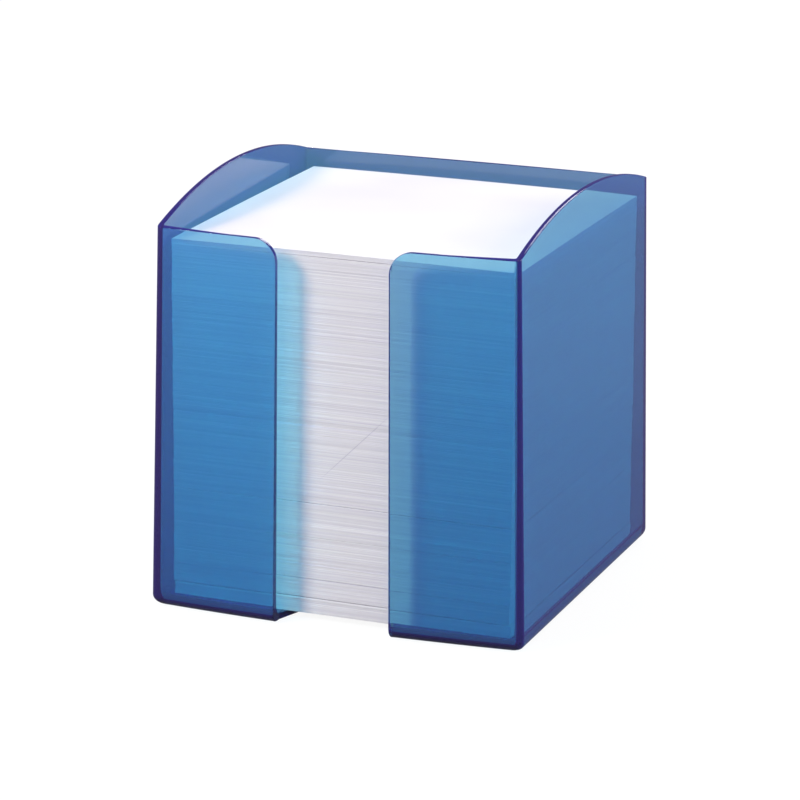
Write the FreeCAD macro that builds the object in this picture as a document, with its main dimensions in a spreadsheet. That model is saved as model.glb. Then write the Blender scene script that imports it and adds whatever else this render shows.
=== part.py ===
import FreeCAD, Part
import math
import os
import Sketcher

# A clear moulded memo box with a finger slot in its front, holding a stack of loose square notes.
# +Z is up, the slotted front faces -Y, and the origin is under the middle of the foot.

# Sizes of the notes and the box, in millimetres
SIZES = {
    # Notes that the box is made for
    "note_width": 90.0,
    "sheet_thickness": 0.12,
    "stack_below_rim": 3.6,
    # Room inside the box around the notes, and how much wider it is at the back than at the front
    "side_play_top": 0.6,
    "side_play_foot": 2.45,
    "side_splay": 2.5,
    "front_play": 2.45,
    "back_play": 3.65,
    # Walls and floor
    "rim_height": 98.5,
    "arch_rise": 7.5,
    "wall_foot": 2.2,
    "wall_top": 1.4,
    "floor_thickness": 1.7,
    "front_bow": 2.4,
    "back_bow": 1.2,
    "front_lean": 0.5,
    "foot_radius": 2.9,
    "floor_radius": 2.0,
    # Finger slot and the notch that carries it into the floor
    "slot_width_top": 29.2,
    "slot_width_foot": 30.6,
    "slot_round": 6.0,
    "notch_depth": 28.0,
    "notch_end_radius": 9.6,
    # How far every cut runs past the solid
    "cut_overrun": 2.0,
}

# Sizes that follow from the others
DERIVED = {
    "front_width_foot": "=note_width + 2 * side_play_foot + 2 * wall_foot",
    "front_width_top": "=note_width + 2 * side_play_top + 2 * wall_top",
    "front_reach": "=note_width / 2 + front_play + wall_foot + front_bow",
    "back_reach": "=note_width / 2 + back_play + wall_foot + back_bow",
    "crest_height": "=rim_height + arch_rise",
    "block_height": "=crest_height + cut_overrun",
    "back_width_foot": "=front_width_foot + side_splay",
    "back_width_top": "=front_width_top + side_splay",
    # Where the bowed walls meet the sides at the top
    "front_corner": "=front_reach - front_lean - front_bow * (front_width_top / front_width_foot) ^ 2",
    "back_corner": "=back_reach - back_bow * (back_width_top / back_width_foot) ^ 2",
    "hollow_height": "=block_height - floor_thickness",
    # How far the walls lean in upwards outside, and how far they lean out downwards inside
    "side_lean": "=(front_width_foot - front_width_top) / 2",
    "inner_back_lean": "=wall_top - wall_foot",
    "inner_side_lean": "=inner_back_lean + side_lean",
    "inner_front_lean": "=inner_back_lean + front_lean",
    "stack_height": "=rim_height - stack_below_rim - floor_thickness",
}

# The stack settles into clumps, each with a thin dark gap below it: heights from the floor up
CLUMP_HEIGHT_SHARES = (0.043, 0.054, 0.118, 0.095, 0.227, 0.450, 0.013)
# The stack leans to one side, and each clump lies a little off it, as shares of the side play
STACK_SHIFT_SHARE = 1.25
CLUMP_SHIFT_SHARES = (
    (0.05, -0.10), (-0.08, 0.03), (0.03, 0.08), (-0.03, -0.05), (0.08, 0.07), (0.0, 0.0), (-0.07, 0.10),
)
# The loose stack stands a little turned in the box, in degrees
CLUMP_TURNS = (-0.8, -0.95, -0.85, -0.75, -0.9, -0.85, -0.95)
TOP_NOTE_TURN = -0.9

# How sketches count a curve's ends and centre, their own two axes and their origin
START, END, CENTRE = range(1, 4)
POINT = START
X_AXIS, Y_AXIS = range(-1, -3, -1)
ORIGIN = (X_AXIS, START)

doc = FreeCAD.newDocument("memo_box")
sheet = doc.addObject("Spreadsheet::Sheet", "Sizes")
for row, (alias, value) in enumerate({**SIZES, **DERIVED}.items(), start=1):
    sheet.set(f"A{row}", alias)
    sheet.set(f"B{row}", str(value))
    sheet.setAlias(f"B{row}", alias)
doc.recompute()


def size(alias):
    return float(sheet.get(alias))


def vec(x, y):
    return FreeCAD.Vector(x, y, 0)


def origin_plane(body, role):
    return next(plane for plane in body.Origin.OriginFeatures if plane.Role == role)


def new_sketch(body, name, role, height=None):
    """A sketch on one of the body's own planes, lifted along the plane's normal by an expression."""
    sketch = body.newObject("Sketcher::SketchObject", name)
    sketch.AttachmentSupport = (origin_plane(body, role), [""])
    sketch.MapMode = "FlatFace"
    if height:
        sketch.setExpression("AttachmentOffset.Base.z", height)
    return sketch


def dimension(sketch, name, expression, *constraint):
    """A named dimension that follows an expression of the sheet's sizes."""
    index = sketch.addConstraint(Sketcher.Constraint(*constraint))
    sketch.renameConstraint(index, name)
    sketch.setExpression(f"Constraints.{name}", expression)


def join(sketch, *pairs):
    """Ends that meet, each pair given as curve and end, curve and end."""
    for first, first_end, second, second_end in pairs:
        sketch.addConstraint(Sketcher.Constraint("Coincident", first, first_end, second, second_end))


def arc(centre, radius, start, end):
    circle = Part.Circle(centre, FreeCAD.Vector(0, 0, 1), radius)
    return Part.ArcOfCircle(circle, start, end)


# Outlines of the box seen from above


def draw_outline(sketch, front_width, back_width, front_crown, back_crown, front_bow, back_bow):
    """A bowed front and back joined by straight sides, every size an expression."""
    half_front = size("front_width_foot") / 2
    half_back = size("back_width_foot") / 2
    front_tip = -size("front_reach")
    back_tip = size("back_reach")
    front_y = front_tip + size("front_bow")
    back_y = back_tip - size("back_bow")
    walls = sketch.addGeometry(
        [
            Part.Arc(vec(-half_front, front_y), vec(0, front_tip), vec(half_front, front_y)),
            Part.LineSegment(vec(half_front, front_y), vec(half_back, back_y)),
            Part.Arc(vec(half_back, back_y), vec(0, back_tip), vec(-half_back, back_y)),
            Part.LineSegment(vec(-half_back, back_y), vec(-half_front, front_y)),
        ],
        False,
    )
    front, right, rear, left = walls
    join(sketch, *((wall, END, after, START) for wall, after in zip(walls, walls[1:] + walls[:1])))
    crowns = []
    for y, bowed in ((front_tip, front), (back_tip, rear)):
        sketch.addConstraint(Sketcher.Constraint("PointOnObject", bowed, CENTRE, Y_AXIS))
        sketch.addConstraint(Sketcher.Constraint("Horizontal", bowed, START, bowed, END))
        crown = sketch.addGeometry(Part.Point(vec(0, y)), True)
        sketch.addConstraint(Sketcher.Constraint("PointOnObject", crown, POINT, bowed))
        sketch.addConstraint(Sketcher.Constraint("PointOnObject", crown, POINT, Y_AXIS))
        crowns.append(crown)
    crown_front, crown_back = crowns

    dimension(sketch, "front_width", front_width, "DistanceX", left, END, right, START, 2 * half_front)
    dimension(sketch, "back_width", back_width, "DistanceX", left, START, right, END, 2 * half_back)
    dimension(sketch, "front_crown", front_crown, "DistanceY", crown_front, POINT, *ORIGIN, -front_tip)
    dimension(sketch, "back_crown", back_crown, "DistanceY", *ORIGIN, crown_back, POINT, back_tip)
    dimension(
        sketch, "front_bow", front_bow,
        "DistanceY", crown_front, POINT, front, END, size("front_bow"),
    )
    dimension(
        sketch, "back_bow", back_bow,
        "DistanceY", rear, START, crown_back, POINT, size("back_bow"),
    )


def outline_expressions(level, lean="0", wall="0"):
    """Expressions of the outline at the foot or the top, its front leaning in, drawn in by a wall."""
    front = f"(Sizes.front_width_{level} - 2 * {wall})"
    back = f"(Sizes.back_width_{level} - 2 * {wall})"
    return {
        "front_width": front,
        "back_width": back,
        "front_crown": f"Sizes.front_reach - {lean} - {wall}",
        "back_crown": f"Sizes.back_reach - {wall}",
        "front_bow": f"Sizes.front_bow * ({front} / Sizes.front_width_foot) ^ 2",
        "back_bow": f"Sizes.back_bow * ({back} / Sizes.back_width_foot) ^ 2",
    }


def edges_at_height(shape, height):
    """Names of the edges that lie flat at one height."""
    near = Part.Precision.approximation()
    names = []
    for index, edge in enumerate(shape.Edges, start=1):
        middle = edge.valueAt((edge.FirstParameter + edge.LastParameter) / 2)
        heights = [middle.z] + [vertex.Z for vertex in edge.Vertexes]
        if all(abs(z - height) < near for z in heights):
            names.append(f"Edge{index}")
    return names


# The box, one moulding


def make_box():
    body = doc.addObject("PartDesign::Body", "box")
    body.Label = "box"

    # Block whose sides and front lean in
    foot = new_sketch(body, "foot_outline", "XY_Plane")
    draw_outline(foot, **outline_expressions("foot"))
    block = body.newObject("PartDesign::Pad", "block")
    block.Profile = foot
    block.setExpression("Length", "Sizes.block_height")
    doc.recompute()
    wall = leaning(body, block, "outer_sides", on_a_side, "side_lean", "block_height")
    wall = leaning(body, wall, "outer_front", in_front, "front_lean", "block_height")

    # Hollow whose walls thicken towards the floor
    mouth = new_sketch(body, "mouth_outline", "XY_Plane", "Sizes.block_height")
    draw_outline(mouth, **outline_expressions("top", "Sizes.front_lean", "Sizes.wall_top"))
    wall = through_cut(body, "hollow", mouth, depth="Sizes.hollow_height")
    wall = leaning(body, wall, "inner_sides", on_a_side, "inner_side_lean", "hollow_height", inside=True)
    wall = leaning(body, wall, "inner_front", in_front, "inner_front_lean", "hollow_height", inside=True)
    wall = leaning(body, wall, "inner_back", behind, "inner_back_lean", "hollow_height", inside=True)

    # A cove round the floor and a round along the foot
    floor_edges = edges_at_height(wall.Shape, size("floor_thickness"))
    cove = rounded(body, "floor_cove", wall, floor_edges, "floor_radius")
    rounded(body, "rounded_foot", cove, edges_at_height(cove.Shape, 0), "foot_radius")

    cut_arched_rim(body)
    cut_finger_slot(body)
    cut_floor_notch(body)
    return body


def on_a_side(point):
    return abs(point.x) > abs(point.y)


def in_front(point):
    return -point.y > abs(point.x)


def behind(point):
    return point.y > abs(point.x)


def leaning(body, base, name, where, lean, height, inside=False):
    """Outer walls that lean in from the foot up, or inner walls that lean out from the mouth down."""
    hinge_level = size("block_height") if inside else 0
    walls = []
    for index, face in enumerate(base.Shape.Faces, start=1):
        u_low, u_high, v_low, v_high = face.ParameterRange
        way = face.normalAt((u_low + u_high) / 2, (v_low + v_high) / 2)
        middle = face.CenterOfMass
        upright = abs(way.z) < abs(way.x) + abs(way.y)
        faces_in = way.dot(vec(middle.x, middle.y)) < 0
        if upright and where(middle) and faces_in == inside:
            walls.append(f"Face{index}")
        elif not upright and abs(middle.z - hinge_level) < Part.Precision.approximation():
            hinge = f"Face{index}"
    feature = body.newObject("PartDesign::Draft", name)
    feature.Base = (base, walls)
    feature.NeutralPlane = (base, [hinge])
    feature.Reversed = inside == (size(lean) > 0)
    feature.setExpression("Angle", f"atan(abs(Sizes.{lean}) / Sizes.{height})")
    doc.recompute()
    return feature


def rounded(body, name, base, edges, radius):
    """A fillet on edges of the feature before it, its radius bound to a size."""
    feature = body.newObject("PartDesign::Fillet", name)
    feature.Base = (base, edges)
    feature.setExpression("Radius", f"Sizes.{radius}")
    doc.recompute()
    return feature


def through_cut(body, name, sketch, reverse=False, both_ways=False, depth=None):
    """A pocket through everything on one side of its sketch, on both sides, or to a depth."""
    pocket = body.newObject("PartDesign::Pocket", name)
    pocket.Profile = sketch
    pocket.Type = "Length" if depth else "ThroughAll"
    pocket.Reversed = reverse
    if both_ways:
        pocket.SideType = "Symmetric"
    if depth:
        pocket.setExpression("Length", depth)
    before = pocket.BaseFeature.Shape.Volume
    doc.recompute()
    if pocket.Shape.Volume >= before:
        raise RuntimeError(f"{name} cuts nothing")
    return pocket


def cut_arched_rim(body):
    """Level rims in front and behind, with an arch between them along both side walls."""
    front_y = -size("front_corner")
    back_y = size("back_corner")
    rim = size("rim_height")
    rise = size("arch_rise")
    crest_height = size("crest_height")
    half_span = (back_y - front_y) / 2
    middle = (back_y + front_y) / 2
    radius = (half_span ** 2 + rise ** 2) / (2 * rise)
    opening = math.asin(half_span / radius)
    quarter = math.pi / 2
    front_far = -size("front_reach") - size("cut_overrun")
    back_far = size("back_reach") + size("cut_overrun")
    over = crest_height + 2 * size("cut_overrun")

    sketch = new_sketch(body, "rim_profile", "YZ_Plane")
    arch, back_rim, back_edge, lid, front_edge, front_rim = sketch.addGeometry(
        [
            arc(vec(middle, crest_height - radius), radius, quarter - opening, quarter + opening),
            Part.LineSegment(vec(back_y, rim), vec(back_far, rim)),
            Part.LineSegment(vec(back_far, rim), vec(back_far, over)),
            Part.LineSegment(vec(back_far, over), vec(front_far, over)),
            Part.LineSegment(vec(front_far, over), vec(front_far, rim)),
            Part.LineSegment(vec(front_far, rim), vec(front_y, rim)),
        ],
        False,
    )
    join(
        sketch,
        (arch, START, back_rim, START), (back_rim, END, back_edge, START),
        (back_edge, END, lid, START), (lid, END, front_edge, START),
        (front_edge, END, front_rim, START), (front_rim, END, arch, END),
    )
    for line in (back_rim, lid, front_rim):
        sketch.addConstraint(Sketcher.Constraint("Horizontal", line))
    for line in (back_edge, front_edge):
        sketch.addConstraint(Sketcher.Constraint("Vertical", line))
    crest = sketch.addGeometry(Part.Point(vec(middle, crest_height)), True)
    sketch.addConstraint(Sketcher.Constraint("PointOnObject", crest, POINT, arch))
    sketch.addConstraint(Sketcher.Constraint("Vertical", crest, POINT, arch, CENTRE))
    dimension(sketch, "front_rim", "Sizes.rim_height", "DistanceY", *ORIGIN, arch, END, rim)
    dimension(sketch, "back_rim", "Sizes.rim_height", "DistanceY", *ORIGIN, arch, START, rim)
    dimension(sketch, "crest", "Sizes.crest_height", "DistanceY", *ORIGIN, crest, POINT, crest_height)
    dimension(sketch, "front_corner", "Sizes.front_corner", "DistanceX", arch, END, *ORIGIN, -front_y)
    dimension(sketch, "back_corner", "Sizes.back_corner", "DistanceX", *ORIGIN, arch, START, back_y)
    dimension(
        sketch, "front_far", "Sizes.front_reach + Sizes.cut_overrun",
        "DistanceX", front_rim, START, *ORIGIN, -front_far,
    )
    dimension(
        sketch, "back_far", "Sizes.back_reach + Sizes.cut_overrun",
        "DistanceX", *ORIGIN, back_rim, END, back_far,
    )
    dimension(
        sketch, "lid_height", "Sizes.crest_height + 2 * Sizes.cut_overrun",
        "DistanceY", *ORIGIN, lid, START, over,
    )
    doc.recompute()
    through_cut(body, "arched_rim", sketch, both_ways=True)


def cut_finger_slot(body):
    """The slot in the front wall, a little wider at the foot, with rounded upper corners."""
    low = size("floor_thickness")
    rim = size("rim_height")
    radius = size("slot_round")
    half_foot = size("slot_width_foot") / 2
    half_top = size("slot_width_top") / 2
    shoulder = half_top + radius
    over = size("crest_height") + size("cut_overrun")
    quarter = math.pi / 2

    sketch = new_sketch(body, "slot_profile", "XZ_Plane")
    sill, right, round_right, rise_right, lid, rise_left, round_left, left = sketch.addGeometry(
        [
            Part.LineSegment(vec(-half_foot, low), vec(half_foot, low)),
            Part.LineSegment(vec(half_foot, low), vec(half_top, rim - radius)),
            arc(vec(shoulder, rim - radius), radius, quarter, math.pi),
            Part.LineSegment(vec(shoulder, rim), vec(shoulder, over)),
            Part.LineSegment(vec(shoulder, over), vec(-shoulder, over)),
            Part.LineSegment(vec(-shoulder, over), vec(-shoulder, rim)),
            arc(vec(-shoulder, rim - radius), radius, 0, quarter),
            Part.LineSegment(vec(-half_top, rim - radius), vec(-half_foot, low)),
        ],
        False,
    )
    join(
        sketch,
        (sill, END, right, START), (round_right, START, rise_right, START),
        (rise_right, END, lid, START), (lid, END, rise_left, START),
        (rise_left, END, round_left, END), (left, END, sill, START),
    )
    sketch.addConstraint(Sketcher.Constraint("Tangent", right, END, round_right, END))
    sketch.addConstraint(Sketcher.Constraint("Tangent", left, START, round_left, START))
    sketch.addConstraint(Sketcher.Constraint("Horizontal", lid))
    for line in (rise_left, rise_right):
        sketch.addConstraint(Sketcher.Constraint("Vertical", line))
    sketch.addConstraint(Sketcher.Constraint("Vertical", round_right, CENTRE, round_right, START))
    sketch.addConstraint(Sketcher.Constraint("Symmetric", sill, START, sill, END, Y_AXIS))
    sketch.addConstraint(Sketcher.Constraint("Symmetric", round_left, CENTRE, round_right, CENTRE, Y_AXIS))
    sketch.addConstraint(Sketcher.Constraint("Symmetric", round_left, END, round_right, START, Y_AXIS))
    dimension(sketch, "sill", "Sizes.floor_thickness", "DistanceY", *ORIGIN, sill, END, low)
    dimension(
        sketch, "foot_width", "Sizes.slot_width_foot", "DistanceX", sill, START, sill, END, 2 * half_foot,
    )
    dimension(
        sketch, "top_width", "Sizes.slot_width_top",
        "DistanceX", left, START, right, END, 2 * half_top,
    )
    dimension(sketch, "round", "Sizes.slot_round", "Radius", round_right, radius)
    dimension(sketch, "rim", "Sizes.rim_height", "DistanceY", *ORIGIN, round_right, START, rim)
    dimension(
        sketch, "lid_height", "Sizes.crest_height + Sizes.cut_overrun",
        "DistanceY", *ORIGIN, lid, START, over,
    )
    doc.recompute()
    through_cut(body, "finger_slot", sketch, reverse=True)


def cut_floor_notch(body):
    """The slot goes on into the floor and narrows to a round end under the notes."""
    half = size("slot_width_foot") / 2
    front = -size("front_reach") - size("cut_overrun")
    wall = -size("front_reach") + size("wall_foot")
    end = -size("front_reach") + size("notch_depth")
    radius = size("notch_end_radius")
    centre = vec(0, end - radius)
    mouth_corner = vec(half, wall) - centre
    turn = math.atan2(mouth_corner.y, mouth_corner.x) + math.acos(radius / mouth_corner.Length)
    touch = centre + vec(radius * math.cos(turn), radius * math.sin(turn))

    sketch = new_sketch(body, "notch_outline", "XY_Plane")
    mouth, right, taper_right, round_end, taper_left, left = sketch.addGeometry(
        [
            Part.LineSegment(vec(-half, front), vec(half, front)),
            Part.LineSegment(vec(half, front), vec(half, wall)),
            Part.LineSegment(vec(half, wall), touch),
            arc(centre, radius, turn, math.pi - turn),
            Part.LineSegment(vec(-touch.x, touch.y), vec(-half, wall)),
            Part.LineSegment(vec(-half, wall), vec(-half, front)),
        ],
        False,
    )
    join(
        sketch,
        (mouth, END, right, START), (right, END, taper_right, START),
        (taper_left, END, left, START), (left, END, mouth, START),
    )
    sketch.addConstraint(Sketcher.Constraint("Tangent", taper_right, END, round_end, START))
    sketch.addConstraint(Sketcher.Constraint("Tangent", round_end, END, taper_left, START))
    sketch.addConstraint(Sketcher.Constraint("Vertical", right))
    sketch.addConstraint(Sketcher.Constraint("Vertical", left))
    sketch.addConstraint(Sketcher.Constraint("PointOnObject", round_end, CENTRE, Y_AXIS))
    sketch.addConstraint(Sketcher.Constraint("Symmetric", mouth, START, mouth, END, Y_AXIS))
    sketch.addConstraint(Sketcher.Constraint("Horizontal", left, START, right, END))
    tip = sketch.addGeometry(Part.Point(vec(0, end)), True)
    sketch.addConstraint(Sketcher.Constraint("PointOnObject", tip, POINT, round_end))
    sketch.addConstraint(Sketcher.Constraint("PointOnObject", tip, POINT, Y_AXIS))
    dimension(
        sketch, "mouth_width", "Sizes.slot_width_foot", "DistanceX", mouth, START, mouth, END, 2 * half,
    )
    dimension(
        sketch, "mouth_reach", "Sizes.front_reach + Sizes.cut_overrun",
        "DistanceY", mouth, END, *ORIGIN, -front,
    )
    dimension(
        sketch, "wall_inside", "Sizes.front_reach - Sizes.wall_foot",
        "DistanceY", right, END, *ORIGIN, -wall,
    )
    dimension(
        sketch, "tip", "Sizes.notch_depth + Sizes.cut_overrun",
        "DistanceY", mouth, END, tip, POINT, end - front,
    )
    dimension(sketch, "end_radius", "Sizes.notch_end_radius", "Radius", round_end, radius)
    doc.recompute()
    through_cut(
        body, "floor_notch", sketch, reverse=True, depth="Sizes.floor_thickness + Sizes.cut_overrun",
    )


# The notes, loose square sheets


def make_notes(name, thickness, height, shift, turn):
    """A square block of sheets lying flat, at a height above the foot, shifted and turned."""
    body = doc.addObject("PartDesign::Body", name)
    body.Label = name
    half = size("note_width") / 2
    corners = [vec(-half, -half), vec(half, -half), vec(half, half), vec(-half, half)]
    sketch = new_sketch(body, f"{name}_outline", "XY_Plane")
    lines = sketch.addGeometry(
        [Part.LineSegment(a, b) for a, b in zip(corners, corners[1:] + corners[:1])], False
    )
    front, right, rear, left = lines
    join(
        sketch,
        (front, END, right, START), (right, END, rear, START),
        (rear, END, left, START), (left, END, front, START),
    )
    for line in (front, rear):
        sketch.addConstraint(Sketcher.Constraint("Horizontal", line))
    for line in (left, right):
        sketch.addConstraint(Sketcher.Constraint("Vertical", line))
    sketch.addConstraint(Sketcher.Constraint("Symmetric", front, START, right, END, *ORIGIN))
    dimension(sketch, "width", "Sizes.note_width", "DistanceX", front, START, front, END, 2 * half)
    dimension(sketch, "depth", "Sizes.note_width", "DistanceY", right, START, right, END, 2 * half)
    pad = body.newObject("PartDesign::Pad", f"{name}_sheets")
    pad.Profile = sketch
    pad.setExpression("Length", thickness)
    side, back = shift
    body.Placement = FreeCAD.Placement(FreeCAD.Vector(), FreeCAD.Rotation(FreeCAD.Vector(0, 0, 1), turn))
    body.setExpression("Placement.Base.x", f"{STACK_SHIFT_SHARE + side} * Sizes.side_play_top")
    body.setExpression("Placement.Base.y", f"{back} * Sizes.side_play_top")
    body.setExpression("Placement.Base.z", height)
    return body


def make_stack():
    """Clumps of sheets face to face from the floor up, and the single note that lies on top."""
    clumps = "(Sizes.stack_height - Sizes.sheet_thickness)"
    bodies = []
    below_share = 0.0
    rows = zip(CLUMP_HEIGHT_SHARES, CLUMP_SHIFT_SHARES, CLUMP_TURNS)
    for number, (share, shift, turn) in enumerate(rows, start=1):
        height = f"Sizes.floor_thickness + {below_share} * {clumps}"
        bodies.append(make_notes(f"notes_{number:02d}", f"{share} * {clumps}", height, shift, turn))
        below_share = round(below_share + share, 6)
    height = f"Sizes.floor_thickness + {clumps}"
    bodies.append(make_notes("top_note", "Sizes.sheet_thickness", height, (0, 0), TOP_NOTE_TURN))
    return bodies


parts = [make_box()] + make_stack()
doc.recompute()

for item in doc.Objects:
    if "Invalid" in item.State or "Error" in item.State:
        raise RuntimeError(f"{item.Label} failed: {item.State}")
for part in parts:
    if part.Shape.isNull() or not part.Shape.isValid():
        raise RuntimeError(f"{part.Label} has no valid shape")

os.makedirs("parts", exist_ok=True)
for part in parts:
    part.Shape.exportStep(f"parts/{part.Label}.step")
    print(part.Label, len(part.Shape.Solids), round(part.Shape.Volume, 2), part.Shape.BoundBox)
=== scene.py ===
import bmesh
import bpy
import math
import random
from collections import namedtuple
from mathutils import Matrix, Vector


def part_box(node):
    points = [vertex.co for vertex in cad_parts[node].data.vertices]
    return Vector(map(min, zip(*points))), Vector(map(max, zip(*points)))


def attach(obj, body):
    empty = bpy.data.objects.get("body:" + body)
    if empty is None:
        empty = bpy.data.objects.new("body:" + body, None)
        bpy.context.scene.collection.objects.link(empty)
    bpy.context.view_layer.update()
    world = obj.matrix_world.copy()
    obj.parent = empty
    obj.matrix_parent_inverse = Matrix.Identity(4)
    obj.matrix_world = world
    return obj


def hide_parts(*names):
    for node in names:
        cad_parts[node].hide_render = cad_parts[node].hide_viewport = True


# A clear blue memo box, moulded in one piece, full of loose white notes
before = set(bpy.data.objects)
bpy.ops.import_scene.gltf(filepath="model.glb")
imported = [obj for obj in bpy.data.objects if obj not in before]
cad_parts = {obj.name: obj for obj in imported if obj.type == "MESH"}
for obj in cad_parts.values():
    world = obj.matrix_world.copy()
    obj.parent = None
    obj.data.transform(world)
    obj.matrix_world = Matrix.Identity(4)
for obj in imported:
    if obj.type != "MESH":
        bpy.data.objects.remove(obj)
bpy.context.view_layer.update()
scene = bpy.context.scene
MM = 0.001
# Places nearer than this count as one, in millimetres
NEAR = 0.01
# How squarely a picked face looks one way
FACING = 0.9
# A slanting line along which no two points of a piece lie level
SLANT = Vector((1.0, 0.61, 0.37))


# Tools of the bench


def only(piece):
    """Makes one piece the only selected and the active one."""
    bpy.ops.object.select_all(action="DESELECT")
    piece.select_set(True)
    bpy.context.view_layer.objects.active = piece


def edit(piece):
    """Opens one piece in edit mode."""
    only(piece)
    bpy.ops.object.mode_set(mode="EDIT")


def done():
    bpy.ops.object.mode_set(mode="OBJECT")


def choose(piece, kind, test):
    """Selects the points, edges or faces of the piece in edit mode that pass a test."""
    bpy.ops.mesh.select_mode(type=kind)
    bpy.ops.mesh.select_all(action="DESELECT")
    mesh = bmesh.from_edit_mesh(piece.data)
    for item in {"VERT": mesh.verts, "EDGE": mesh.edges, "FACE": mesh.faces}[kind]:
        if test(item):
            item.select_set(True)
    mesh.select_flush_mode()
    bmesh.update_edit_mesh(piece.data)


def line_up(piece):
    """Numbers the points, edges and faces of the piece in edit mode by their place. A cut leaves them in
    another order on each run, and merging and rounding go by that order."""
    mesh = bmesh.from_edit_mesh(piece.data)
    mesh.verts.sort(key=lambda v: v.co.dot(SLANT))
    mesh.edges.sort(key=lambda e: (e.verts[0].co + e.verts[1].co).dot(SLANT))
    mesh.faces.sort(key=lambda f: f.calc_center_median().dot(SLANT))
    for items in (mesh.verts, mesh.edges, mesh.faces):
        items.index_update()
    bmesh.update_edit_mesh(piece.data)


def add_cube(name, low, high):
    """A block between two corners, in millimetres, its place in its mesh."""
    bpy.ops.object.select_all(action="DESELECT")
    low = Vector(low) * MM
    high = Vector(high) * MM
    bpy.ops.mesh.primitive_cube_add(size=1, location=(low + high) / 2, scale=high - low)
    piece = bpy.context.object
    piece.name = name
    bpy.ops.object.transform_apply(location=True, rotation=True, scale=True)
    return piece


def modify(piece, kind, **settings):
    """Adds a modifier with its settings and applies it."""
    only(piece)
    bpy.ops.object.modifier_add(type=kind)
    modifier = piece.modifiers[-1]
    for name, value in settings.items():
        setattr(modifier, name, value)
    bpy.ops.object.modifier_apply(modifier=modifier.name)


def cut(piece, cutter):
    """Takes a cutter away from a piece."""
    modify(piece, "BOOLEAN", operation="DIFFERENCE", solver="EXACT", object=cutter)
    bpy.data.objects.remove(cutter)


# The moulded box, in millimetres

# Outline seen from above: half widths, front and back corner lines, and how far the walls bow,
# at the top of a block and where the round of its foot begins
Outline = namedtuple("Outline", "half_front half_back front back front_bow back_bow")
OUTER_FOOT = Outline(49.57, 50.82, -49.63, 50.85, 2.4, 1.2)
OUTER_TOP = Outline(47.0, 48.25, -49.40, 50.97, 2.15, 1.08)
INNER_FLOOR = Outline(47.41, 48.66, -47.66, 48.76, 2.19, 1.1)
INNER_MOUTH = Outline(45.6, 46.85, -48.13, 49.63, 2.02, 1.02)
# Levels above the table: tops of the block and of the hollow in it before the rims are cut, floor,
# level rims and crests of the arches
BLOCK_TOP = 107.0
HOLLOW_TOP = 108.0
FLOOR = 1.7
RIM = 98.5
CREST = 106.0
# Rounds of the foot outside and of the floor inside, each across, front to back and up. The floor's
# is tall for the dark band along the foot, and shallow enough to clear the lowest notes
FOOT_ROUND = (2.9, 2.9, 2.9)
FLOOR_ROUND = (0.7, 2.0, 3.4)
# Rounds of the upright corners and of the cut edges
OUTER_CORNER = 1.5
INNER_CORNER = 0.5
EDGE_ROUND = 0.25
# Finger slot, and a half width that holds all of it
SLOT_HALF_FOOT = 15.3
SLOT_HALF_TOP = 14.6
SLOT_ROUND = 6.0
SLOT_REACH = SLOT_HALF_FOOT + 1
# Notch in the floor. Its end is rounded a hair less than its half width, so that the corners stay apart
NOTCH_MOUTH = -47.6
NOTCH_TIP = -24.05
NOTCH_HALF_TIP = 7.0
NOTCH_ROUND = 0.999 * NOTCH_HALF_TIP
NOTCH_OVERLAP = 0.1
# How far the cutters reach past the box, around it and under it
OUTSIDE = 60.0
UNDER = 5.0
# Cuts across a bowed wall, one of them in its middle, and steps round a corner and round the arches' circle
BOW_CUTS = 47
ROUND_STEPS = 8
ARCH_STEPS = 720
# Points nearer than these are merged, after the cuts and after the edges are rounded
CUT_MERGE = 0.02
ROUND_MERGE = 0.002
# Angles between faces that count as flat, that stay smooth, and that are edges to round
FLAT_ANGLE = math.radians(1.5)
SMOOTH_ANGLE = math.radians(32)
EDGE_ANGLE = math.radians(40)


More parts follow.
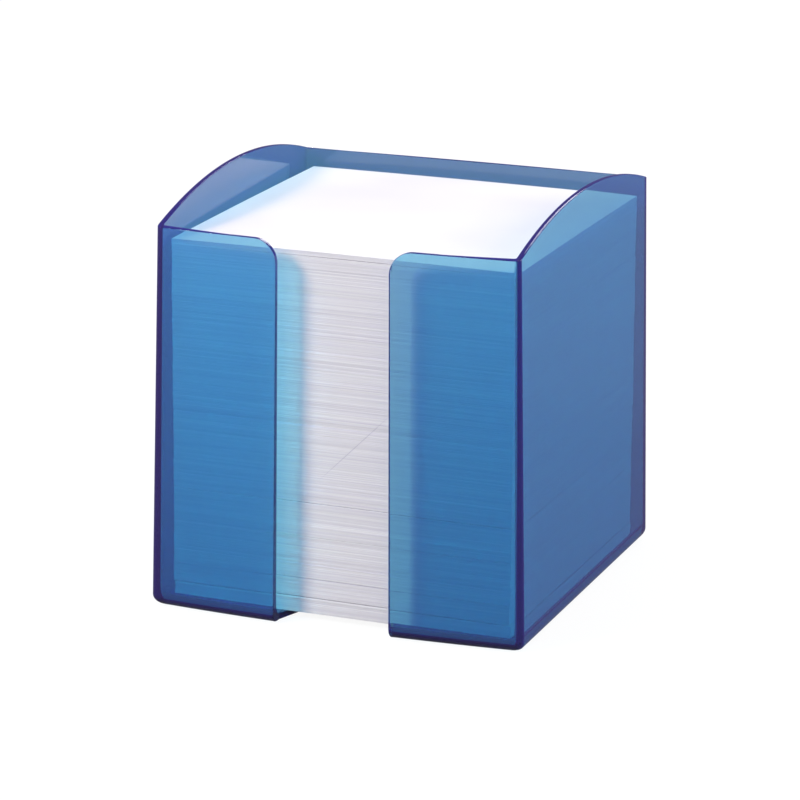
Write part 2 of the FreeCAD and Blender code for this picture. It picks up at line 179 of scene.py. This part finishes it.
def drafted_block(name, low, lower, high, upper, foot_round, corner):
    """A bowed block that narrows upwards, rounded along its foot and down its corners."""
    depth_middle = (lower.front + lower.back) / 2 * MM
    height_middle = (low + high) / 2 * MM
    *rounds_in, round_up = foot_round
    piece = add_cube(
        name, (-lower.half_front, lower.front, low + round_up), (lower.half_front, lower.back, high)
    )
    edit(piece)
    choose(piece, "VERT", lambda v: v.co.y > depth_middle)
    bpy.ops.transform.resize(value=(lower.half_back / lower.half_front, 1, 1), center_override=(0, 0, 0))

    # Upright corners
    choose(piece, "EDGE", lambda e: abs(e.verts[0].co.z - e.verts[1].co.z) > MM)
    bpy.ops.mesh.bevel(offset=corner * MM, segments=ROUND_STEPS, affect="EDGES")

    # Front and back bowed out
    choose(piece, "EDGE", lambda e: abs(e.verts[0].co.x - e.verts[1].co.x) > lower.half_front * MM)
    bpy.ops.mesh.subdivide(number_cuts=BOW_CUTS)
    bows = ((-1, lower.front_bow, lower.half_front), (1, lower.back_bow, lower.half_back))
    for way, bow, half in bows:
        choose(piece, "VERT", lambda v: abs(v.co.x) < NEAR * MM and (v.co.y - depth_middle) * way > 0)
        bpy.ops.transform.translate(
            value=(0, way * bow * MM, 0), use_proportional_edit=True,
            proportional_edit_falloff="INVERSE_SQUARE", proportional_size=half * MM,
        )

    # Draft of the sides, lean of the front and back
    choose(piece, "VERT", lambda v: v.co.z > height_middle)
    bpy.ops.transform.resize(value=(upper.half_front / lower.half_front, 1, 1), center_override=(0, 0, 0))
    ends = (
        (-1, lower.front, upper.front, upper.front_bow / lower.front_bow),
        (1, lower.back, upper.back, upper.back_bow / lower.back_bow),
    )
    for way, old, new, flatter in ends:
        choose(piece, "VERT", lambda v: v.co.z > height_middle and (v.co.y - depth_middle) * way > 0)
        bpy.ops.transform.translate(value=(0, (new - old) * MM, 0))
        bpy.ops.transform.resize(value=(1, flatter, 1), center_override=(0, new * MM, high * MM))

    # Round along the foot, drawn out and in step by step
    choose(piece, "FACE", lambda f: f.normal.z < -FACING)
    halves = (lower.half_back, (lower.back - lower.front) / 2)
    drawn_in = 0
    drawn_out = 0
    for step in range(1, ROUND_STEPS + 1):
        turn = math.pi / 2 * step / ROUND_STEPS
        further_in = 1 - math.cos(turn)
        further_out = round_up * math.sin(turn)
        bpy.ops.mesh.extrude_region_move(
            TRANSFORM_OT_translate={"value": (0, 0, (drawn_out - further_out) * MM)}
        )
        shares = [
            (half - round_in * further_in) / (half - round_in * drawn_in)
            for half, round_in in zip(halves, rounds_in)
        ]
        bpy.ops.transform.resize(value=(*shares, 1), center_override=(0, depth_middle, 0))
        drawn_in = further_in
        drawn_out = further_out
    done()
    return piece


def make_box():
    box = drafted_block("moulded_box", 0, OUTER_FOOT, BLOCK_TOP, OUTER_TOP, FOOT_ROUND, OUTER_CORNER)
    hollow = drafted_block(
        "hollow", FLOOR, INNER_FLOOR, HOLLOW_TOP, INNER_MOUTH, FLOOR_ROUND, INNER_CORNER
    )
    cut(box, hollow)

    # Rims level in front and behind, arched along both sides
    arch_front, arch_back = OUTER_TOP.front, OUTER_TOP.back
    half_span = (arch_back - arch_front) / 2
    rise = CREST - RIM
    radius = (half_span ** 2 + rise ** 2) / (2 * rise)
    over_rim = add_cube("over_rim", (-OUTSIDE, -OUTSIDE, RIM), (OUTSIDE, OUTSIDE, HOLLOW_TOP + OUTSIDE))
    bpy.ops.object.select_all(action="DESELECT")
    bpy.ops.mesh.primitive_cylinder_add(
        vertices=ARCH_STEPS, radius=radius * MM, depth=4 * OUTSIDE * MM, rotation=(0, math.pi / 2, 0),
        location=(0, (arch_front + arch_back) / 2 * MM, (CREST - radius) * MM),
    )
    arch = bpy.context.object
    bpy.ops.object.transform_apply(location=True, rotation=True, scale=True)
    cut(over_rim, arch)
    cut(box, over_rim)

    # Finger slot in the front, wider at the foot, its upper corners rounded over
    half_under = SLOT_HALF_FOOT + (SLOT_HALF_FOOT - SLOT_HALF_TOP) * (FLOOR + UNDER) / (RIM - FLOOR)
    slot = add_cube("slot", (-half_under, -OUTSIDE, -UNDER), (half_under, NOTCH_MOUTH, RIM))
    edit(slot)
    choose(slot, "FACE", lambda f: f.normal.z > FACING)
    narrow = SLOT_HALF_TOP / half_under
    bpy.ops.transform.resize(value=(narrow, 1, 1), center_override=(0, 0, 0))
    bpy.ops.mesh.extrude_region_move(TRANSFORM_OT_translate={"value": (0, 0, (CREST - RIM) * MM)})
    for side in (-1, 1):
        choose(slot, "FACE", lambda f: f.normal.x * side > FACING and f.calc_center_median().z > RIM * MM)
        bpy.ops.mesh.extrude_region_move(
            TRANSFORM_OT_translate={"value": (side * 2 * SLOT_ROUND * MM, 0, 0)}
        )
    choose(
        slot, "EDGE",
        lambda e: all(abs(v.co.z - RIM * MM) < NEAR * MM for v in e.verts)
        and all(abs(abs(v.co.x) - SLOT_HALF_TOP * MM) < NEAR * MM for v in e.verts)
        and abs(e.verts[0].co.y - e.verts[1].co.y) > MM,
    )
    bpy.ops.mesh.bevel(offset=SLOT_ROUND * MM, segments=2 * ROUND_STEPS, affect="EDGES")
    done()
    cut(box, slot)

    # The slot goes on into the floor as a tapered notch with a round end
    notch = add_cube(
        "notch", (-SLOT_HALF_FOOT, NOTCH_MOUTH - NOTCH_OVERLAP, -UNDER),
        (SLOT_HALF_FOOT, NOTCH_MOUTH, 2 * FLOOR),
    )
    edit(notch)
    choose(notch, "FACE", lambda f: f.normal.y > FACING)
    bpy.ops.mesh.extrude_region_move(
        TRANSFORM_OT_translate={"value": (0, (NOTCH_TIP - NOTCH_MOUTH) * MM, 0)}
    )
    bpy.ops.transform.resize(value=(NOTCH_HALF_TIP / SLOT_HALF_FOOT, 1, 1), center_override=(0, 0, 0))
    choose(
        notch, "EDGE",
        lambda e: all(v.co.y > (NOTCH_TIP - NEAR) * MM for v in e.verts)
        and abs(e.verts[0].co.z - e.verts[1].co.z) > MM,
    )
    bpy.ops.mesh.bevel(
        offset_type="ABSOLUTE", offset=NOTCH_ROUND * MM, segments=ROUND_STEPS, affect="EDGES"
    )
    done()
    cut(box, notch)

    # The slot's sides made whole again after the cuts
    edit(box)
    line_up(box)
    bpy.ops.mesh.select_all(action="SELECT")
    bpy.ops.mesh.remove_doubles(threshold=CUT_MERGE * MM)
    bpy.ops.mesh.dissolve_degenerate(threshold=NEAR * MM)
    choose(
        box, "FACE",
        lambda f: abs(f.normal.x) > FACING and abs(f.calc_center_median().x) < SLOT_REACH * MM,
    )
    bpy.ops.mesh.dissolve_limited(angle_limit=FLAT_ANGLE)
    line_up(box)
    done()

    # Every cut edge a little softened, as a mould leaves it
    modify(
        box, "BEVEL", width=EDGE_ROUND * MM, segments=2, limit_method="ANGLE",
        angle_limit=EDGE_ANGLE, use_clamp_overlap=False, miter_outer="MITER_SHARP",
    )
    edit(box)
    bpy.ops.mesh.select_all(action="SELECT")
    bpy.ops.mesh.remove_doubles(threshold=ROUND_MERGE * MM)
    done()
    only(box)
    bpy.ops.object.shade_smooth_by_angle(angle=SMOOTH_ANGLE)
    modify(box, "WEIGHTED_NORMAL", mode="FACE_AREA", keep_sharp=True)
    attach(box, "box")
    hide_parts("box")
    return box


# The notes, in millimetres

# Side of a note, height that a sheet takes up in the stack, and how much of that is paper
NOTE = 90.0
SHEET = 0.12
PAPER_SHARE = 0.92
# How far the corners of the topmost sheets droop, no more than the air under their clump, and how far
# from a corner the droop reaches
DROOP = 0.16
DROOP_REACH = 36.0
# Cuts across a flat sheet and across one that droops
FLAT_CUTS = 1
DROOP_CUTS = 3
# Turn of each clump of sheets in the box, in degrees, from the floor up
CLUMP_TURNS = (-0.8, -0.95, -0.85, -0.75, -0.88, -0.88, -0.95)
# Air left under each clump, the thin dark lines across the front of the stack
CLUMP_GAPS = (0.0, 0.22, 0.12, 0.1, 0.18, 0.02, 0.16)
TOP_TURN = -0.9
# How the sheets stray: the share of its drift that a sheet hands on to the next, the drift aside and to
# the front or back, and a sheet's own step to the front or back and its turn in degrees
DRIFT_KEPT = 0.9
DRIFT_ASIDE = 0.03
DRIFT_DEPTH = 0.02
STEP_DEPTH = 0.015
STEP_TURN = 0.02
shuffle = random.Random(11)


def make_sheet(name, droop):
    """One note, flat or with drooping corners, lying in the middle at table level."""
    half = NOTE / 2
    piece = add_cube(name, (-half, -half, 0), (half, half, PAPER_SHARE * SHEET))
    edit(piece)
    choose(piece, "EDGE", lambda e: abs(e.verts[0].co.z - e.verts[1].co.z) < NEAR * MM)
    bpy.ops.mesh.subdivide(number_cuts=DROOP_CUTS if droop else FLAT_CUTS)
    if droop:
        for x in (-half, half):
            for y in (-half, half):
                corner = Vector((x, y, 0)) * MM
                choose(piece, "VERT", lambda v: (v.co.xy - corner.xy).length < MM)
                bpy.ops.transform.translate(
                    value=(0, 0, -droop * MM), use_proportional_edit=True,
                    proportional_edit_falloff="SMOOTH", proportional_size=DROOP_REACH * MM,
                )
    done()
    return piece


def lay_sheets(name, sheet, count, low, pitch, middle, turn, loose):
    """Copies of a sheet laid one on another, each a little off the last, joined into one piece."""
    drift = Vector((0, 0, 0))
    copies = []
    for level in range(count):
        copy = sheet.copy()
        copy.data = sheet.data.copy()
        scene.collection.objects.link(copy)
        stray = Vector((shuffle.gauss(0, DRIFT_ASIDE), shuffle.gauss(0, DRIFT_DEPTH), 0))
        drift = DRIFT_KEPT * drift + stray * loose
        place = middle + (drift + Vector((0, shuffle.gauss(0, STEP_DEPTH), 0)) * loose) * MM
        copy.location = (place.x, place.y, low + level * pitch)
        copy.rotation_euler.z = math.radians(turn + shuffle.gauss(0, STEP_TURN) * loose)
        copies.append(copy)
    bpy.ops.object.select_all(action="DESELECT")
    for copy in copies:
        copy.select_set(True)
    piece = copies[0]
    bpy.context.view_layer.objects.active = piece
    if count > 1:
        bpy.ops.object.join()
    bpy.ops.object.transform_apply(location=True, rotation=True, scale=True)
    piece.name = name
    piece.data.name = name
    return piece


def make_notes():
    flat = make_sheet("flat_sheet", 0)
    drooping = make_sheet("drooping_sheet", DROOP)
    pieces = []
    for number, (turn, gap) in enumerate(zip(CLUMP_TURNS, CLUMP_GAPS), start=1):
        clump = f"notes_{number:02d}"
        low, high = (Vector(corner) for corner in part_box(clump))
        middle = (low + high) / 2
        height = high.z - low.z - gap * MM
        count = round(height / (SHEET * MM))
        sheet = drooping if number == len(CLUMP_TURNS) else flat
        piece = lay_sheets(
            f"note_clump_{number:02d}", sheet, count, low.z + gap * MM, height / count, middle, turn, 1
        )
        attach(piece, "stack")
        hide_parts(clump)
        pieces.append(piece)
    low, high = (Vector(corner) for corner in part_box("top_note"))
    piece = lay_sheets("top_sheet", drooping, 1, low.z, SHEET * MM, (low + high) / 2, TOP_TURN, 0)
    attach(piece, "top_note")
    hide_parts("top_note")
    pieces.append(piece)
    for sheet in (flat, drooping):
        bpy.data.objects.remove(sheet)
    return pieces


# Materials


def colour(code):
    """Linear colour of an sRGB hex value."""
    channels = [int(code[place:place + 2], 16) / 255 for place in (1, 3, 5)]
    linear = [c / 12.92 if c <= 0.04045 else ((c + 0.055) / 1.055) ** 2.4 for c in channels]
    return (*linear, 1.0)


def new_material(name):
    material = bpy.data.materials.new(name)
    material.use_nodes = True
    material.node_tree.nodes.clear()
    return material


def node(tree, kind, settings=None, **inputs):
    """Adds a node with its settings, and sets or links its inputs by name."""
    added = tree.nodes.new(kind)
    for name, value in (settings or {}).items():
        setattr(added, name, value)
    for name, value in inputs.items():
        key = int(name[1:]) if name[1:].isdigit() else name.replace("_", " ")
        socket = added.inputs[key]
        if isinstance(value, bpy.types.NodeSocket):
            tree.links.new(value, socket)
        else:
            socket.default_value = value
    return added


def dress(piece, material):
    piece.data.materials.clear()
    piece.data.materials.append(material)


def blue_polystyrene():
    """Clear polystyrene, moulded and glossy, tinted blue all through: pale where the light crosses a
    wall once, navy where it runs along a wall, with a faint wave that the mould leaves in the shine."""
    material = new_material("clear_blue_polystyrene_moulded")
    tree = material.node_tree
    coordinates = node(tree, "ShaderNodeTexCoord").outputs
    place = coordinates["Object"]
    # Shallow waves about 14 mm long
    wave = node(tree, "ShaderNodeTexNoise", Vector=place, Scale=1 / (14 * MM), Detail=1.0)
    bump = node(tree, "ShaderNodeBump", Strength=0.05, Distance=0.2 * MM, Height=wave.outputs["Fac"])
    # Handling leaves the gloss a little uneven, in patches about 25 mm wide
    patches = node(tree, "ShaderNodeTexNoise", Vector=place, Scale=1 / (25 * MM), Detail=3.0)
    gloss = node(tree, "ShaderNodeMapRange", Value=patches.outputs["Fac"], To_Min=0.0, To_Max=0.03)
    clear = node(
        tree, "ShaderNodeBsdfPrincipled",
        Base_Color=colour("#FFFFFF"), Roughness=gloss.outputs["Result"], IOR=1.59,
        Transmission_Weight=1.0, Normal=bump.outputs["Normal"],
    )
    # The dye scatters a little blue light, which keeps the thick edges navy instead of black
    haze = node(tree, "ShaderNodeBsdfDiffuse", Color=colour("#8066FF"))
    seen = node(
        tree, "ShaderNodeMixShader", Fac=0.125, _1=clear.outputs["BSDF"], _2=haze.outputs["BSDF"],
    )
    # Lamps shine straight through the walls, tinted by them, but the cut edges of the slot turn most
    # of the light back inside and cast a violet line beside it
    faces_aside = node(tree, "ShaderNodeSeparateXYZ", Vector=coordinates["Normal"]).outputs["X"]
    sideways = node(tree, "ShaderNodeMath", {"operation": "ABSOLUTE"}, _0=faces_aside).outputs["Value"]
    off_middle = node(tree, "ShaderNodeSeparateXYZ", Vector=place).outputs["X"]
    reach = node(tree, "ShaderNodeMath", {"operation": "ABSOLUTE"}, _0=off_middle).outputs["Value"]
    upright = node(tree, "ShaderNodeMath", {"operation": "GREATER_THAN"}, _0=sideways, _1=0.7)
    inner = node(
        tree, "ShaderNodeMath", {"operation": "LESS_THAN"}, _0=reach, _1=SLOT_REACH * MM,
    )
    slot_edge = node(
        tree, "ShaderNodeMath", {"operation": "MULTIPLY"},
        _0=upright.outputs["Value"], _1=inner.outputs["Value"],
    )
    through = node(
        tree, "ShaderNodeMix", {"data_type": "RGBA"}, _0=slot_edge.outputs["Value"],
        _6=colour("#F8ECF2"), _7=colour("#958CBC"),
    )
    shadow = node(tree, "ShaderNodeLightPath").outputs["Is Shadow Ray"]
    passing = node(tree, "ShaderNodeBsdfTransparent", Color=through.outputs[2])
    surface = node(
        tree, "ShaderNodeMixShader", Fac=shadow, _1=seen.outputs["Shader"], _2=passing.outputs["BSDF"],
    )
    tint = node(tree, "ShaderNodeVolumeAbsorption", Color=colour("#50E0EA"), Density=900.0)
    node(
        tree, "ShaderNodeOutputMaterial",
        Surface=surface.outputs["Shader"], Volume=tint.outputs["Volume"],
    )
    return material


def note_paper():
    """Uncoated white writing paper, guillotined: matt, with a faint fibre on the face, and on the cut
    sides a slight change of tone from sheet to sheet."""
    material = new_material("white_paper_uncoated")
    tree = material.node_tree
    place = node(tree, "ShaderNodeTexCoord").outputs["Object"]
    # Tone changes every few sheets up the stack, and slowly along it
    layers = node(
        tree, "ShaderNodeMapping", Vector=place,
        Scale=(1 / (60 * MM), 1 / (60 * MM), 1 / (0.35 * MM)),
    )
    tone = node(tree, "ShaderNodeTexNoise", Vector=layers.outputs["Vector"], Scale=1.0, Detail=2.0)
    # The knife left one faint slanting mark across the front, which fades out 16 mm each way
    slant = node(
        tree, "ShaderNodeMapping", {"vector_type": "TEXTURE"}, Vector=place,
        Location=Vector((4, -45, 46.6)) * MM, Rotation=(0, math.radians(-45), 0),
        Scale=Vector((16, 1.5, 0.16)) * MM,
    )
    mark = node(
        tree, "ShaderNodeTexGradient", {"gradient_type": "SPHERICAL"}, Vector=slant.outputs["Vector"],
    )
    marked = node(
        tree, "ShaderNodeMath", {"operation": "SUBTRACT"},
        _0=tone.outputs["Fac"], _1=mark.outputs["Fac"],
    )
    shade = node(tree, "ShaderNodeValToRGB", Fac=marked.outputs["Value"])
    ramp = shade.color_ramp.elements
    ramp[0].color = colour("#DEDAE6")
    ramp.new(0.3).color = colour("#EBE7F2")
    ramp[2].position = 0.7
    ramp[2].color = colour("#FAF8FC")
    # Fibres about 0.4 mm wide
    fibre = node(tree, "ShaderNodeTexNoise", Vector=place, Scale=1 / (0.4 * MM), Detail=4.0)
    bump = node(tree, "ShaderNodeBump", Strength=0.1, Distance=0.02 * MM, Height=fibre.outputs["Fac"])
    surface = node(
        tree, "ShaderNodeBsdfPrincipled",
        Base_Color=shade.outputs["Color"], Roughness=0.85, IOR=1.45,
        Normal=bump.outputs["Normal"],
    )
    node(tree, "ShaderNodeOutputMaterial", Surface=surface.outputs["BSDF"])
    return material


# Floor, light and camera

# The floor's width in metres, and how far it lies under the foot in millimetres, so that the two stay apart
STAGE_WIDTH = 8
STAGE_DROP = 0.05


def seen_level(tree, straight, shine, through, lights):
    """Strength seen straight, in a reflection and through clear plastic, and that lights matt things."""
    rays = node(tree, "ShaderNodeLightPath").outputs
    level = None
    views = (
        ("Is Camera Ray", straight), ("Is Glossy Ray", shine), ("Is Transmission Ray", through),
        ("Is Diffuse Ray", lights),
    )
    for ray, strength in views:
        share = node(tree, "ShaderNodeMath", {"operation": "MULTIPLY"}, _0=rays[ray], _1=strength)
        if level is None:
            level = share.outputs["Value"]
        else:
            level = node(
                tree, "ShaderNodeMath", {"operation": "MAXIMUM"}, _0=level, _1=share.outputs["Value"],
            ).outputs["Value"]
    return level


def make_stage():
    bpy.ops.object.select_all(action="DESELECT")
    bpy.ops.mesh.primitive_plane_add(size=STAGE_WIDTH, location=(0, 0, -STAGE_DROP * MM))
    floor = bpy.context.object
    floor.name = "studio_floor"
    bpy.ops.object.transform_apply(location=True, rotation=True, scale=True)
    material = new_material("white_studio_floor")
    tree = material.node_tree
    matt = node(tree, "ShaderNodeBsdfDiffuse", Color=colour("#606060"))
    level = seen_level(tree, straight=0.92, shine=0.13, through=0.19, lights=0.07)
    glow = node(tree, "ShaderNodeEmission", Color=colour("#FFFFFF"), Strength=level)
    both = node(tree, "ShaderNodeAddShader", _0=matt.outputs["BSDF"], _1=glow.outputs["Emission"])
    node(tree, "ShaderNodeOutputMaterial", Surface=both.outputs["Shader"])
    dress(floor, material)


def make_world():
    world = bpy.data.worlds.new("white_studio")
    world.use_nodes = True
    tree = world.node_tree
    tree.nodes.clear()
    level = seen_level(tree, straight=1.0, shine=0.12, through=0.2, lights=0.4)
    sky = node(tree, "ShaderNodeBackground", Color=colour("#FFFFFF"), Strength=level)
    node(tree, "ShaderNodeOutputWorld", Surface=sky.outputs["Background"])
    # Only rays that leave a surface find the world, so that its level goes by their kind
    world.cycles.sampling_method = "NONE"
    scene.world = world


def add_softbox(name, place, target, width, power):
    """A square soft light that faces a point, in metres and watts, and isn't seen through the plastic."""
    lamp = bpy.data.lights.new(name, "AREA")
    lamp.size = width
    lamp.energy = power
    holder = bpy.data.objects.new(name, lamp)
    scene.collection.objects.link(holder)
    holder.visible_transmission = False
    holder.location = place
    holder.rotation_euler = (Vector(target) - Vector(place)).to_track_quat("-Z", "Y").to_euler()


def make_camera():
    """The camera that was fitted to the edges of the box and the notes in the photograph."""
    azimuth = math.radians(20.42)
    elevation = math.radians(16.01)
    roll = math.radians(0.46)
    distance = 946 * MM
    target = Vector((-1.59, 0.85, 45.79)) * MM
    back = Vector((
        math.sin(azimuth) * math.cos(elevation), -math.cos(azimuth) * math.cos(elevation),
        math.sin(elevation),
    ))
    data = bpy.data.cameras.new("photo_camera")
    data.sensor_width = 36.0
    data.lens = 165.2
    camera = bpy.data.objects.new("photo_camera", data)
    scene.collection.objects.link(camera)
    camera.location = target + back * distance
    turn = (-back).to_track_quat("-Z", "Y").to_matrix().to_4x4()
    right = turn.col[0].xyz
    up = turn.col[1].xyz
    turn.col[0].xyz = math.cos(roll) * right + math.sin(roll) * up
    turn.col[1].xyz = math.cos(roll) * up - math.sin(roll) * right
    camera.rotation_euler = turn.to_euler()
    scene.camera = camera


make_camera()
plastic = blue_polystyrene()
paper = note_paper()
dress(make_box(), plastic)
for clump in make_notes():
    dress(clump, paper)
make_stage()
make_world()
# Near and high on the left of the front, broad on the right, and weak from behind for the arches
add_softbox("key_light", place=(-0.64, -0.73, 0.7), target=(0, 0, 0.05), width=0.31, power=10.6)
add_softbox("side_light", place=(1.2, 0.35, 0.55), target=(0, 0, 0.05), width=0.7, power=11.2)
add_softbox("back_light", place=(0.0, 1.0, 0.8), target=(0, 0, 0.1), width=0.6, power=4.2)
scene.view_settings.view_transform = "Standard"
